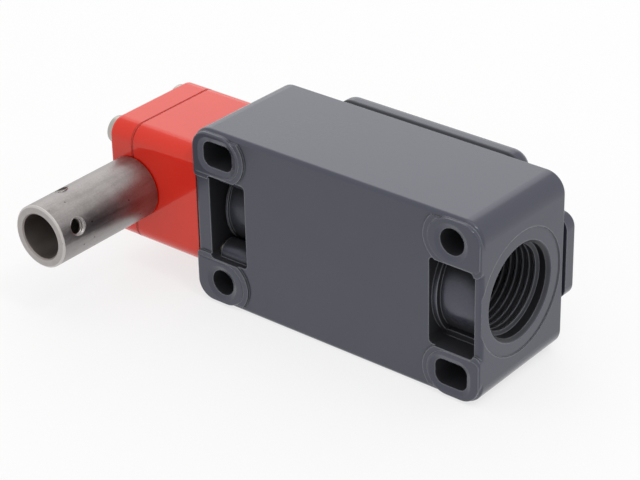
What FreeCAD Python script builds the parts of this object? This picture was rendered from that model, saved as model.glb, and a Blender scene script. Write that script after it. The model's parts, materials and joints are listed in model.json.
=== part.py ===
import FreeCAD, Part
import math
import os

from FreeCAD import Vector

# Safety hinge switch, in millimetres. The origin is the centre of the fixing holes on the mounting plane.
# X runs along the housing from the hinge head (-X) to the conduit entry (+X).
# Y runs from the mounting plane to the cover, and Z is up, across the housing.

# Fixing pattern on the mounting side
fixing_pitch_x = 60.0
fixing_pitch_z = 30.0
fixing_bore_r = 2.9
slot_shift = 1.0
slot_corner_r = 2.0
mouth_spread = 1.15
mouth_depth = 0.45
pad_r = 4.9
pad_shift = 0.9
pad_rise = 0.8
pad_inset = 0.3
pad_corner_r = 1.2
pad_edge_r = 0.3
pad_shelf = 0.3
step_width = 1.2
step_rise = 0.5
step_edge_r = 0.3
step_inset = 1.2

# Die-cast housing
end_margin = 7.0
side_margin = 5.0
shell_depth = 28.1
side_draft = 0.45
shell_corner_r = 4.4
shell_edge_r = 0.9
rim_edge_r = 0.5
plate_thick = 2.2
side_wall = 3.0
head_end_wall = 3.9
head_pocket_length = 9.7
entry_end_wall = 1.7
entry_pocket_length = 11.1
pocket_roof = 6.0
pocket_corner_r = 1.0
pocket_rib = 1.4
pocket_rib_depth = 4.6
head_screw_boss_r = 3.0
chamber_wall = 3.0
chamber_corner_r = 3.0
axis_shift = 0.05

# Conduit entry
thread_r = 10.0
thread_length = 14.0
thread_flare = 0.8
passage_r = 7.5
entry_tube_r = 11.2
entry_collar = 1.2
entry_drop = 0.7
entry_face_r = 13.6
entry_face_depth = 0.25

# Tube between the head and the chamber
head_tube_r = 10.2
head_tube_collar = 0.5
head_tube_gap = 1.3
head_neck_r = 6.5
head_bay_r = 8.0

# Cover, its gasket and its captive screws
cover_thick = 5.4
cover_edge_r = 2.4
cover_corner_r = 4.0
cover_lap_head = 2.2
cover_lap_entry = 4.0
cover_side_inset = 0.6
cover_tab_half = 9.6
cover_tab_thick = 3.0
cover_tab_lift = 0.4
cover_tab_corner_r = 3.0
cover_tab_edge_r = 0.5
cover_skin = 2.2
gasket_thick = 0.6
gasket_inset = 0.7
gasket_lip = 0.4
cover_screw_r = 1.7
cover_screw_head_r = 3.3
cover_screw_head = 2.3
cover_screw_grip = 9.0
cover_column_r = 3.6
cover_column_inset = 2.8
cover_screw_inset_z = 3.4

# Hinge head
head_half = 13.8
head_corner_r = 3.8
axis_reach = 18.2
cap_thick = 6.6
cap_edge_r = 0.8
parting_chamfer = 0.25
head_front_wall = 4.5
head_rear_wall = 5.0
base_floor = 4.0
head_screw_offset = 9.8
head_screw_r = 1.9
head_screw_head_r = 3.1
head_screw_head = 1.8
head_screw_edge = 0.5
head_screw_grip = 8.0
head_gasket_r = 8.6
head_gasket_width = 2.2
head_gasket_thick = 1.0

# Hollow shaft and what it turns in
shaft_r = 7.0
shaft_bore_r = 5.0
shaft_bore_depth = 24.0
shaft_reach = 28.6
shaft_chamfer = 0.3
shaft_face_gap = 0.3
drill_point = 1.5
set_screw_r = 2.0
set_screw_near = 4.9
set_screw_far = 8.8
index_angle = 22.0
journal_r = 4.0
spindle_r = 3.0
bush_wall = 1.0
bush_flange = 1.0
seal_width = 1.5
seal_length = 1.5
seal_groove = 0.8
seal_lip = 0.5
rear_bush_length = 2.7
washer_thick = 0.7

# Cam with a constant lift per degree, and the pin that fixes it to the spindle
cam_rest_r = 3.7
cam_lift = 1.6
cam_turn = 180.0
cam_room = 0.5
cam_hub_r = 4.6
cam_hub_length = 3.2
pin_r = 0.8

# Plunger, its guide, seal and return spring
tappet_r = 4.0
tappet_thick = 2.0
tappet_chamfer = 0.3
stem_r = 2.5
guide_r = 4.2
guide_flange_r = 4.7
guide_flange = 1.0
guide_overlap = 0.2
plunger_seal_length = 2.6
well_room = 1.0
return_wire = 0.7
return_spring_r = 3.3
return_turns = 5.0
coil_steps = 16
wire_sides = 8

# Contact block
block_gap = 6.8
block_half_z = 14.3
block_wall = 1.5
block_side = 4.0
block_floor = 3.0
block_lid_thick = 1.6
block_lid_half = 6.2
lid_lift = 0.4
barrier = 2.0
barrier_rise = 4.0
barrier_gap = 1.6
carrier_half_y = 3.2
carrier_half_z = 3.0
carrier_overrun = 1.0
bridge_thick = 0.8
bridge_half_y = 2.0
bridge_room = 0.9
tip_r = 1.3
tip_height = 0.6
tip_inset = 1.5
strip_thick = 1.0
strip_drop = 2.0
contact_room = 2.9
contact_wire = 0.4
contact_spring_r = 1.5
contact_turns = 2.5
carrier_web = 2.0
window_room = 0.3
terminal_screw_r = 1.5
terminal_head_r = 2.8
terminal_head = 2.4
terminal_depth = 8.0
clamp_margin = 0.5
clamp_reach = 6.0
clamp_thick = 1.2
block_screw_r = 1.4
block_screw_head_r = 2.1
block_screw_head = 2.0
block_screw_inset = 2.3
block_boss_r = 3.2
earth_screw_r = 1.9
earth_head_r = 2.9
earth_head = 2.4
earth_inset = 3.3
earth_gap = 0.9
earth_boss_r = 3.1
earth_boss_rise = 3.0

# Clearances
running_gap = 0.03
press_gap = 0.02
screw_gap = 0.2
slide_gap = 0.1
contact_gap = 0.1
cam_gap = 0.15
axial_play = 0.15
blind_end = 0.4
past = 1.0

# Places worked out from the sizes above
plate_y = pad_rise
rim_y = plate_y + shell_depth
floor_y = plate_y + plate_thick
axis_y = plate_y + shell_depth / 2 + axis_shift
entry_axis_y = plate_y + shell_depth / 2 - entry_drop
half_x = fixing_pitch_x / 2 + end_margin
half_z = fixing_pitch_z / 2 + side_margin
chamber_half_z = half_z - side_wall
head_pocket_x0 = -half_x + head_end_wall
head_pocket_x1 = head_pocket_x0 + head_pocket_length
entry_pocket_x1 = half_x - entry_end_wall
entry_pocket_x0 = entry_pocket_x1 - entry_pocket_length
pocket_half_z = fixing_pitch_z / 2 - pad_r - pad_shelf
pocket_end_y = rim_y - pocket_roof
chamber_x0 = head_pocket_x1 + chamber_wall
chamber_x1 = entry_pocket_x0 - chamber_wall
cover_y0 = rim_y + gasket_thick
cover_y1 = cover_y0 + cover_thick
cover_screw_x = (chamber_x0 + cover_column_inset, chamber_x1 - cover_column_inset)
cover_screw_z = chamber_half_z - cover_screw_inset_z
cover_screw_xz = [(x, side * cover_screw_z) for x in cover_screw_x for side in (-1, 1)]
cover_seat_y = cover_y1 - cover_screw_head
parting_x = -half_x - axis_reach
cap_x = parting_x - cap_thick
well_end_x = -half_x - base_floor
head_front_y = axis_y - head_half
head_back_y = axis_y + head_half
front_wall_y = head_front_y + head_front_wall
rear_wall_y = head_back_y - head_rear_wall
head_screw_signs = [(a, b) for a in (-1, 1) for b in (-1, 1)]
head_screw_yz = [(axis_y + a * head_screw_offset, b * head_screw_offset) for a, b in head_screw_signs]
shaft_mouth_y = head_front_y - shaft_reach
shoulder_y = head_front_y - shaft_face_gap
seal_y0 = head_front_y + seal_lip
seal_y1 = seal_y0 + seal_length
front_flange_y = front_wall_y + bush_flange
spindle_y = front_flange_y + axial_play
cam_y0 = spindle_y + washer_thick
rear_flange_y = rear_wall_y - bush_flange
hub_y = rear_flange_y - axial_play
cam_y1 = hub_y - cam_hub_length
rear_bush_y = rear_wall_y + rear_bush_length
cam_rate = cam_lift / math.radians(cam_turn)
cavity_r = cam_rest_r + cam_lift + cam_room
flange_r = cavity_r - screw_gap
tappet_x0 = parting_x + cam_rest_r + cam_gap
tappet_x1 = tappet_x0 + tappet_thick
guide_x0 = well_end_x - guide_flange
guide_x1 = head_pocket_x0 + guide_overlap
seal_x1 = guide_x1 + plunger_seal_length
head_tube_x = head_pocket_x0 + head_tube_gap
block_x0 = chamber_x0 + block_gap
block_x1 = chamber_x1 - block_gap
tray_x0 = block_x0 + block_wall
tray_x1 = block_x1 - block_wall
tray_half_z = block_half_z - block_side
bridge_half_z = tray_half_z - bridge_room
tip_offset = bridge_half_z - tip_inset
strip_inner_z = tip_offset - tip_r
block_y0 = axis_y - carrier_half_y - slide_gap - block_floor - strip_drop
tray_y = block_y0 + block_floor
block_y1 = axis_y + bridge_half_y + window_room + contact_gap
strip_y1 = block_y1 + strip_thick
clamp_y1 = strip_y1 + clamp_thick
lid_y0 = max(strip_y1, axis_y + carrier_half_y) + lid_lift
lid_y1 = lid_y0 + block_lid_thick
carrier_x0 = block_x0 - carrier_overrun
carrier_x1 = block_x1 + carrier_overrun
opening_x0 = tray_x0 + contact_room
closing_x1 = tray_x1 - contact_room
contact_length = closing_x1 - opening_x0
strip_length = (contact_length - barrier) / 2 - barrier_gap
clamp_half = strip_length / 2 - clamp_margin
set_thick = strip_thick + 2 * tip_height + bridge_thick + contact_gap
contact_spring_length = (contact_length - cam_lift - carrier_web) / 2 - set_thick
opening_bridge_x = opening_x0 + strip_thick + 2 * tip_height + contact_gap
opening_spring_x = opening_bridge_x + bridge_thick
web_x0 = opening_spring_x + contact_spring_length
web_x1 = web_x0 + carrier_web
closing_bridge_x = web_x1 + contact_spring_length
terminal_z = block_half_z - block_side / 2
terminal_x = (opening_x0 + strip_length / 2, closing_x1 - strip_length / 2)
terminal_xz = [(x, side * terminal_z) for x in terminal_x for side in (-1, 1)]
block_screw_xz = ((block_x0 + block_screw_inset, terminal_z), (block_x1 - block_screw_inset, -terminal_z))
earth_x = chamber_x1 - earth_inset
earth_z = earth_boss_r + earth_gap + cover_column_r - cover_screw_z
earth_y = floor_y + earth_boss_rise


def box(x0, x1, y0, y1, z0, z1):
    return Part.makeBox(x1 - x0, y1 - y0, z1 - z0, Vector(x0, y0, z0))


def rod_x(radius, x0, x1, y=axis_y, z=0.0):
    return Part.makeCylinder(radius, x1 - x0, Vector(x0, y, z), Vector(1, 0, 0))


def rod_y(radius, y0, y1, x=parting_x, z=0.0):
    return Part.makeCylinder(radius, y1 - y0, Vector(x, y0, z), Vector(0, 1, 0))


def turned_x(profile, y=axis_y, z=0.0):
    """Turn a closed profile of (x, radius) points about a line along X."""
    points = [Vector(x, y + radius, z) for x, radius in profile]
    face = Part.Face(Part.makePolygon(points + points[:1]))
    return face.revolve(Vector(0, y, z), Vector(1, 0, 0), 360)


def turned_y(profile, x=parting_x, z=0.0):
    """Turn a closed profile of (y, radius) points about a line along Y."""
    points = [Vector(x + radius, y, z) for y, radius in profile]
    face = Part.Face(Part.makePolygon(points + points[:1]))
    return face.revolve(Vector(x, 0, z), Vector(0, 1, 0), 360)


def straight_along(shape, direction):
    lines = [edge for edge in shape.Edges if isinstance(edge.Curve, Part.Line)]
    return [edge for edge in lines if abs(edge.Curve.Direction.dot(direction)) > 0.999]


def outline_at(shape, direction, value):
    """The edges whose ends and middle all lie in the plane at this distance along the direction."""
    def in_plane(edge):
        middle = edge.valueAt((edge.FirstParameter + edge.LastParameter) / 2)
        points = [vertex.Point for vertex in edge.Vertexes] + [middle]
        return all(abs(point.dot(direction) - value) < 1e-6 for point in points)
    return [edge for edge in shape.Edges if in_plane(edge)]


ALONG_X = Vector(1, 0, 0)
ALONG_Y = Vector(0, 1, 0)


def prism_y(x0, x1, half_width, corner_r, y0, y1):
    """A block along Y, even about Z = 0, with its four long edges rounded."""
    block = box(x0, x1, y0, y1, -half_width, half_width)
    return block.makeFillet(corner_r, straight_along(block, ALONG_Y))


def prism_head(x0, x1):
    """A length of the head's rounded square section."""
    block = box(x0, x1, head_front_y, head_back_y, -head_half, head_half)
    return block.makeFillet(head_corner_r, straight_along(block, ALONG_X))


def stadium(x, z, y, shift, radius):
    """A closed outline in the plane at y: two half circles a shift each side of a place along X."""
    left = Vector(x - shift, y, z)
    right = Vector(x + shift, y, z)
    up = Vector(0, 0, radius)
    out = Vector(radius, 0, 0)
    edges = [
        Part.makeLine(left + up, right + up),
        Part.Arc(right + up, right + out, right - up).toShape(),
        Part.makeLine(right - up, left - up),
        Part.Arc(left - up, left - out, left + up).toShape(),
    ]
    return Part.Wire(edges)


def stadium_prism(x, z, y0, y1, shift, radius):
    return Part.Face(stadium(x, z, y0, shift, radius)).extrude(Vector(0, y1 - y0, 0))


def fixing_places():
    """Each fixing hole's place and slot shift; the two slots lie on one diagonal."""
    for sign_x in (-1, 1):
        for sign_z in (-1, 1):
            shift = slot_shift if sign_x != sign_z else 0
            yield sign_x * fixing_pitch_x / 2, sign_z * fixing_pitch_z / 2, shift


def corner_pad(x, z, radius, end_inset, y0):
    """A raised pad round a fixing hole, carried out towards the end of the housing."""
    end = math.copysign(half_x - end_inset, x)
    pad = stadium_prism(x, z, y0, floor_y, pad_shift, radius)
    bridge = prism_y(min(x, end), max(x, end), radius, pad_corner_r, y0, floor_y)
    return pad.fuse(bridge.translated(Vector(0, 0, z))).removeSplitter()


def hole_outline(x, z, y, shift, spread):
    """A fixing hole's outline in the plane at y, wider by the spread: a circle or a rounded slot."""
    radius = fixing_bore_r + spread
    if shift == 0:
        return Part.Wire(Part.makeCircle(radius, Vector(x, y, z), ALONG_Y))
    reach = radius + shift
    block = prism_y(x - reach, x + reach, radius, slot_corner_r + spread, y, y + past)
    edges = outline_at(block.translated(Vector(0, 0, z)), ALONG_Y, y)
    return Part.Wire(Part.__sortEdges__(edges))


def fixing_hole(x, z, shift):
    start = hole_outline(x, z, -past, shift, 0)
    through = Part.Face(start).extrude(Vector(0, rim_y + 2 * past, 0))
    wide = hole_outline(x, z, 0, shift, mouth_spread)
    narrow = hole_outline(x, z, mouth_depth, shift, 0)
    return through.fuse(Part.makeLoft([wide, narrow], True, True))


def casting(y0, edge_r, inset=0.0):
    """The casting from a rounded edge at y0 to the rim. Its long sides lean in towards the cover."""
    narrow = half_z - inset
    wide = narrow + side_draft
    block = Part.makeWedge(-half_x, 0, -wide, -narrow, -half_x, half_x, rim_y, wide, narrow, half_x)
    block = block.makeFillet(shell_corner_r, straight_along(block, ALONG_Y))
    block = block.common(box(-half_x, half_x, y0, rim_y, -wide, wide))
    return block.makeFillet(edge_r, outline_at(block, ALONG_Y, y0))


def housing_shell():
    """The outer casting with a raised pad and its lower step at each fixing hole."""
    shell = casting(plate_y, shell_edge_r)
    shell = shell.makeFillet(rim_edge_r, outline_at(shell, ALONG_Y, rim_y))
    step_y = plate_y - step_rise
    stepped = casting(step_y, step_edge_r, step_inset)
    reach = half_x - pad_inset
    top = prism_y(-reach, reach, fixing_pitch_z / 2 + pad_r, shell_corner_r - pad_inset, 0, floor_y)
    for x, z, _ in fixing_places():
        low = corner_pad(x, z, pad_r + step_width, 0, step_y)
        pad = corner_pad(x, z, pad_r, pad_inset, 0).common(top).removeSplitter()
        pad = pad.makeFillet(pad_edge_r, outline_at(pad, ALONG_Y, 0))
        shell = shell.fuse([stepped.common(low), pad])
    return shell.removeSplitter()


def pocket(x0, x1):
    """A recess in the mounting side, between two fixing pads."""
    return prism_y(x0, x1, pocket_half_z, pocket_corner_r, -past, pocket_end_y)


def entry_rib(side):
    """A rib along the long wall of the pocket at the conduit entry."""
    edge = side * (pocket_half_z + past)
    inner = side * (pocket_half_z - pocket_rib)
    top = plate_y + pocket_rib_depth
    return box(chamber_x1, half_x - entry_end_wall / 2, top, rim_y - past, min(edge, inner), max(edge, inner))


def housing():
    body = housing_shell()
    body = body.cut(prism_y(chamber_x0, chamber_x1, chamber_half_z, chamber_corner_r, floor_y, rim_y + past))
    body = body.cut(pocket(head_pocket_x0, head_pocket_x1))
    body = body.cut(pocket(entry_pocket_x0, entry_pocket_x1))
    added = [
        rod_x(entry_tube_r, chamber_x1, half_x, entry_axis_y),
        rod_x(entry_tube_r + entry_collar, chamber_x1, entry_pocket_x0 + entry_collar, entry_axis_y),
        rod_x(head_tube_r, head_tube_x, chamber_x0),
        rod_x(head_tube_r + head_tube_collar, head_tube_x, head_tube_x + head_tube_collar),
        rod_x(head_neck_r, head_pocket_x0 - past, head_tube_x + past),
        rod_y(earth_boss_r, plate_y + past, earth_y, earth_x, earth_z),
    ]
    added += [entry_rib(side) for side in (-1, 1)]
    bosses = [rod_x(head_screw_boss_r, head_tube_x, chamber_x0 - past, y, z) for y, z in head_screw_yz]
    bosses += [rod_y(cover_column_r, plate_y + past, rim_y, x, z) for x, z in cover_screw_xz]
    envelope = prism_y(-half_x, half_x, half_z, shell_corner_r, plate_y, rim_y)
    added += [boss.common(envelope) for boss in bosses]
    for x, z in block_screw_xz:
        added.append(rod_y(block_boss_r, plate_y + past, block_y0, x, z))
    body = body.fuse(added).removeSplitter()
    thread_x = half_x - thread_length
    mouth_x = half_x - entry_face_depth
    entry = turned_x([
        (chamber_x1 - past, 0),
        (chamber_x1 - past, passage_r),
        (thread_x, passage_r),
        (thread_x, thread_r),
        (mouth_x - thread_flare, thread_r),
        (mouth_x, thread_r + thread_flare),
        (mouth_x, entry_face_r),
        (half_x + past, entry_face_r),
        (half_x + past, 0),
    ], entry_axis_y)
    plunger_way = turned_x([
        (-half_x - past, 0),
        (-half_x - past, guide_r + press_gap),
        (seal_x1, guide_r + press_gap),
        (seal_x1, stem_r + screw_gap),
        (head_tube_x + chamber_wall, stem_r + screw_gap),
        (head_tube_x + chamber_wall, head_bay_r),
        (chamber_x0 + past, head_bay_r),
        (chamber_x0 + past, 0),
    ])
    cuts = [entry, plunger_way]
    cuts += [fixing_hole(*place) for place in fixing_places()]
    cover_hole_y = rim_y - cover_screw_grip - blind_end
    for x, z in cover_screw_xz:
        cuts.append(rod_y(cover_screw_r + press_gap, cover_hole_y, rim_y + past, x, z))
    head_hole_x = -half_x + head_screw_grip + blind_end
    for y, z in head_screw_yz:
        cuts.append(rod_x(head_screw_r + press_gap, -half_x - past, head_hole_x, y, z))
    for x, z in block_screw_xz:
        cuts.append(rod_y(block_screw_r + press_gap, floor_y, block_y0 + past, x, z))
    cuts.append(rod_y(earth_screw_r + press_gap, floor_y, earth_y + past, earth_x, earth_z))
    return body.cut(cuts)


def cover():
    """A lid with a wide domed middle, and a thin tab at each end between the fixing holes."""
    middle = prism_y(chamber_x0 - cover_lap_head, chamber_x1 + cover_lap_entry, half_z - cover_side_inset,
                     cover_corner_r, cover_y0, cover_y1)
    middle = middle.makeFillet(cover_edge_r, outline_at(middle, ALONG_Y, cover_y1))
    tab_y0 = cover_y0 + cover_tab_lift
    tab_y1 = tab_y0 + cover_tab_thick
    tabs = prism_y(-half_x, half_x, cover_tab_half, cover_tab_corner_r, tab_y0, tab_y1)
    tabs = tabs.makeFillet(cover_tab_edge_r, outline_at(tabs, ALONG_Y, tab_y1))
    lid = middle.fuse(tabs).removeSplitter()
    recess = prism_y(chamber_x0, chamber_x1, chamber_half_z, chamber_corner_r,
                     cover_y0 - past, cover_y1 - cover_skin)
    columns = [rod_y(cover_column_r, cover_y0 - 2 * past, cover_y1, x, z) for x, z in cover_screw_xz]
    cuts = [recess.cut(columns)]
    for x, z in cover_screw_xz:
        cuts.append(rod_y(cover_screw_r + screw_gap, cover_y0 - past, cover_y1 + past, x, z))
        cuts.append(rod_y(cover_screw_head_r + screw_gap, cover_seat_y, cover_y1 + past, x, z))
    return lid.cut(cuts)


def cover_gasket():
    """A flat ring on the chamber rim, with a lobe round each cover screw."""
    land = cover_lap_head - gasket_inset
    width = half_z - cover_side_inset - gasket_inset
    sheet = prism_y(chamber_x0 - land, chamber_x1 + land, width, cover_corner_r, rim_y, cover_y0)
    inside = prism_y(chamber_x0 + gasket_lip, chamber_x1 - gasket_lip, chamber_half_z - gasket_lip,
                     chamber_corner_r, rim_y - past, cover_y0 + past)
    holes = []
    for x, z in cover_screw_xz:
        inside = inside.cut(rod_y(cover_column_r, rim_y - 2 * past, cover_y0 + 2 * past, x, z))
        holes.append(rod_y(cover_screw_r + screw_gap, rim_y - past, cover_y0 + past, x, z))
    return sheet.cut([inside] + holes)


def screw_y(radius, head_radius, head, seat_y, grip, x, z):
    """A cylinder-head screw along Y, its head on the +Y side of the seat."""
    return rod_y(radius, seat_y - grip, seat_y, x, z).fuse(rod_y(head_radius, seat_y, seat_y + head, x, z))


def cover_screws():
    grip = cover_seat_y - rim_y + cover_screw_grip
    return [screw_y(cover_screw_r, cover_screw_head_r, cover_screw_head, cover_seat_y, grip, x, z)
            for x, z in cover_screw_xz]


def shaft_space():
    """The room that the two halves of the head leave for the shaft, its seal, its bushes and the cam."""
    return turned_y([
        (head_front_y - past, 0),
        (head_front_y - past, journal_r + screw_gap),
        (seal_y0, journal_r + screw_gap),
        (seal_y0, journal_r + seal_width + press_gap),
        (seal_y1, journal_r + seal_width + press_gap),
        (seal_y1, journal_r + bush_wall + press_gap),
        (front_wall_y, journal_r + bush_wall + press_gap),
        (front_wall_y, cavity_r),
        (rear_wall_y, cavity_r),
        (rear_wall_y, spindle_r + bush_wall + press_gap),
        (rear_bush_y + blind_end, spindle_r + bush_wall + press_gap),
        (rear_bush_y + blind_end, 0),
    ])


def head_screw_holes():
    hole_r = head_screw_r + screw_gap
    return [rod_x(hole_r, cap_x - past, -half_x + past, y, z) for y, z in head_screw_yz]


def head_base():
    block = prism_head(parting_x, -half_x)
    block = block.makeChamfer(parting_chamfer, outline_at(block, ALONG_X, parting_x))
    groove_x = -half_x - head_gasket_thick
    groove = rod_x(head_gasket_r + press_gap, groove_x, -half_x + past)
    groove = groove.cut(rod_x(head_gasket_r - head_gasket_width - press_gap, groove_x - past, -half_x))
    well = rod_x(tappet_r + well_room, parting_x, well_end_x)
    guide_way = rod_x(guide_r + press_gap, parting_x, -half_x + past)
    return block.cut([shaft_space(), groove, well, guide_way] + head_screw_holes())


def head_cap():
    block = prism_head(cap_x, parting_x)
    block = block.makeFillet(cap_edge_r, outline_at(block, ALONG_X, cap_x))
    block = block.makeChamfer(parting_chamfer, outline_at(block, ALONG_X, parting_x))
    return block.cut([shaft_space()] + head_screw_holes())


def head_screws():
    """Four long screws through the cap and the base into the housing."""
    screws = []
    for y, z in head_screw_yz:
        head = rod_x(head_screw_head_r, cap_x - head_screw_head, cap_x, y, z)
        head = head.makeChamfer(head_screw_edge, outline_at(head, ALONG_X, cap_x - head_screw_head))
        screws.append(head.fuse(rod_x(head_screw_r, cap_x, -half_x + head_screw_grip, y, z)))
    return screws


def head_gasket():
    ring_x = -half_x - head_gasket_thick
    ring = rod_x(head_gasket_r, ring_x, -half_x)
    return ring.cut(rod_x(head_gasket_r - head_gasket_width, ring_x - past, -half_x + past))


def set_screw_hole(inset, angle):
    """A radial hole in the tube; the angle goes from +X towards +Z."""
    turn = math.radians(angle)
    start = Vector(parting_x, shaft_mouth_y + inset, 0)
    return Part.makeCylinder(set_screw_r, shaft_r + past, start, Vector(math.cos(turn), 0, math.sin(turn)))


def pin_along(radius, reach):
    """A rod across the cam's hub, as far as this reach on both sides of the spindle."""
    start = Vector(parting_x, (cam_y1 + hub_y) / 2, -reach)
    return Part.makeCylinder(radius, 2 * reach, start, Vector(0, 0, 1))


def hollow_shaft():
    bore_end = shaft_mouth_y + shaft_bore_depth
    end_y = rear_bush_y - blind_end
    shaft = turned_y([
        (shaft_mouth_y, shaft_bore_r + shaft_chamfer),
        (shaft_mouth_y, shaft_r - shaft_chamfer),
        (shaft_mouth_y + shaft_chamfer, shaft_r),
        (shoulder_y, shaft_r),
        (shoulder_y, journal_r),
        (spindle_y, journal_r),
        (spindle_y, spindle_r),
        (end_y - shaft_chamfer, spindle_r),
        (end_y, spindle_r - shaft_chamfer),
        (end_y, 0),
        (bore_end + drill_point, 0),
        (bore_end, shaft_bore_r),
        (shaft_mouth_y + shaft_chamfer, shaft_bore_r),
    ])
    pin_way = pin_along(pin_r + press_gap, cam_hub_r + past)
    near = set_screw_hole(set_screw_near, index_angle)
    far = set_screw_hole(set_screw_far, index_angle + 90)
    return shaft.cut([pin_way, near, far])


def shaft_seal():
    """A rubber U-cup round the front journal, its groove towards the head."""
    inner_r = journal_r + running_gap
    outer_r = journal_r + seal_width
    return turned_y([
        (seal_y0, inner_r),
        (seal_y0, outer_r),
        (seal_y1, outer_r),
        (seal_y1 - seal_groove, (inner_r + outer_r) / 2),
        (seal_y1, inner_r),
    ])


def flanged_bush(inner_r, outer_r, seat_y, flange_y, end_y):
    """A plain bearing bush: a sleeve from its end to the flange, and a flange in the cavity."""
    return turned_y([
        (end_y, inner_r),
        (end_y, outer_r),
        (seat_y, outer_r),
        (seat_y, flange_r),
        (flange_y, flange_r),
        (flange_y, inner_r),
    ])


def front_bush():
    outer_r = journal_r + bush_wall
    return flanged_bush(journal_r + running_gap, outer_r, front_wall_y, front_flange_y, seal_y1)


def rear_bush():
    outer_r = spindle_r + bush_wall
    return flanged_bush(spindle_r + running_gap, outer_r, rear_wall_y, rear_flange_y, rear_bush_y)


def thrust_washer():
    ring = rod_y(flange_r - screw_gap, spindle_y, cam_y0)
    return ring.cut(rod_y(spindle_r + press_gap, spindle_y - past, cam_y0 + past))


def cam_point(angle):
    """A point of the curve that lifts a flat face by the same amount for each degree of turn."""
    height = cam_rest_r + cam_rate * angle
    x = height * math.cos(angle) - cam_rate * math.sin(angle)
    z = height * math.sin(angle) + cam_rate * math.cos(angle)
    return Vector(parting_x + x, cam_y0, z)


def cam():
    steps = 12
    turn = math.radians(cam_turn)
    rise = Part.BSplineCurve()
    rise.interpolate([cam_point(turn * step / steps) for step in range(steps + 1)])
    start = cam_point(0)
    end = cam_point(turn)
    foot = Vector(start.x, cam_y0, end.z)
    lowest = Vector((end.x + foot.x) / 2, cam_y0, end.z - (foot.x - end.x) / 2)
    back = Part.Arc(end, lowest, foot)
    outline = Part.Wire([rise.toShape(), back.toShape(), Part.makeLine(foot, start)])
    disc = Part.Face(outline).extrude(Vector(0, cam_y1 - cam_y0, 0))
    hub = rod_y(cam_hub_r, cam_y1, hub_y)
    bore = rod_y(spindle_r + press_gap, cam_y0 - past, hub_y + past)
    pin_way = pin_along(pin_r + press_gap, cam_hub_r + past)
    return disc.fuse(hub).cut([bore, pin_way])


def cam_pin():
    return pin_along(pin_r, cam_hub_r)


def plunger():
    return turned_x([
        (tappet_x0, 0),
        (tappet_x0, tappet_r - tappet_chamfer),
        (tappet_x0 + tappet_chamfer, tappet_r),
        (tappet_x1, tappet_r),
        (tappet_x1, stem_r),
        (carrier_x0, stem_r),
        (carrier_x0, 0),
    ])


def plunger_guide():
    """A flanged bush that also centres the head on the housing."""
    return turned_x([
        (guide_x0, stem_r + running_gap),
        (guide_x0, guide_flange_r),
        (well_end_x, guide_flange_r),
        (well_end_x, guide_r),
        (guide_x1, guide_r),
        (guide_x1, stem_r + running_gap),
    ])


def plunger_seal():
    """A rubber wiper ring with a waist, between the guide and the shoulder of its bore."""
    waist = plunger_seal_length / 4
    middle = (guide_x1 + seal_x1) / 2
    return turned_x([
        (guide_x1, stem_r + running_gap),
        (guide_x1, guide_r),
        (middle - waist, guide_r),
        (middle, guide_r - waist),
        (middle + waist, guide_r),
        (seal_x1, guide_r),
        (seal_x1, stem_r + running_gap),
    ])


def coil_x(x0, x1, radius, wire, turns, y=axis_y, z=0.0):
    """A helical spring along X that fills the length from x0 to x1, lofted through sections of the wire."""
    wire_r = wire / 2
    length = x1 - x0 - wire
    steps = round(turns * coil_steps)
    sections = []
    for step in range(steps + 1):
        turn = 2 * math.pi * turns * step / steps
        corners = []
        for side in range(wire_sides):
            lean = 2 * math.pi * side / wire_sides
            reach = radius + wire_r * math.cos(lean)
            along = x0 + wire_r + length * step / steps + wire_r * math.sin(lean)
            corners.append(Vector(along, y + reach * math.cos(turn), z + reach * math.sin(turn)))
        sections.append(Part.makePolygon(corners + corners[:1]))
    return Part.makeLoft(sections, True, True)


def return_spring():
    return coil_x(tappet_x1, guide_x0, return_spring_r, return_wire, return_turns)


def contact_block():
    """The insulating tray that carries the fixed contacts and guides the contact carrier."""
    block = box(block_x0, block_x1, block_y0, block_y1, -block_half_z, block_half_z)
    block = block.cut(box(tray_x0, tray_x1, tray_y, block_y1 + past, -tray_half_z, tray_half_z))
    side = carrier_half_z + slide_gap
    way_y = axis_y - carrier_half_y - slide_gap
    block = block.cut(box(block_x0 - past, block_x1 + past, way_y, block_y1 + past, -side, side))
    middle = (opening_x0 + closing_x1) / 2
    walls = []
    for sign in (-1, 1):
        inner = sign * tray_half_z
        outer = sign * block_half_z
        walls.append(box(middle - barrier / 2, middle + barrier / 2, block_y1, block_y1 + barrier_rise,
                         min(inner, outer), max(inner, outer)))
    block = block.fuse(walls)
    holes = []
    terminal_hole_y = clamp_y1 - terminal_depth - blind_end
    for x, z in terminal_xz:
        holes.append(rod_y(terminal_screw_r + press_gap, terminal_hole_y, block_y1 + past, x, z))
    for x, z in block_screw_xz:
        holes.append(rod_y(block_screw_r + press_gap, block_y0 - past, block_y1 + past, x, z))
    return block.cut(holes)


def block_lid():
    """A lid over the carrier, standing on the end walls of the block."""
    lid = box(block_x0, block_x1, lid_y0, lid_y1, -block_lid_half, block_lid_half)
    legs = []
    for x0, x1 in ((block_x0, tray_x0), (tray_x1, block_x1)):
        for sign in (-1, 1):
            inner = sign * (carrier_half_z + slide_gap)
            outer = sign * block_lid_half
            legs.append(box(x0, x1, block_y1, lid_y0, min(inner, outer), max(inner, outer)))
    return lid.fuse(legs).removeSplitter()


def contact_carrier():
    """A sliding bar with one window for each contact bridge and its spring."""
    bar = box(carrier_x0, carrier_x1, axis_y - carrier_half_y, axis_y + carrier_half_y,
              -carrier_half_z, carrier_half_z)
    opening_end = opening_bridge_x - window_room
    closing_end = closing_bridge_x + bridge_thick + window_room
    half_y = bridge_half_y + window_room
    through_z = carrier_half_z + past
    for x0, x1 in ((opening_end, web_x0), (web_x1, closing_end)):
        bar = bar.cut(box(x0, x1, axis_y - half_y, axis_y + half_y, -through_z, through_z))
    return bar


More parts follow.
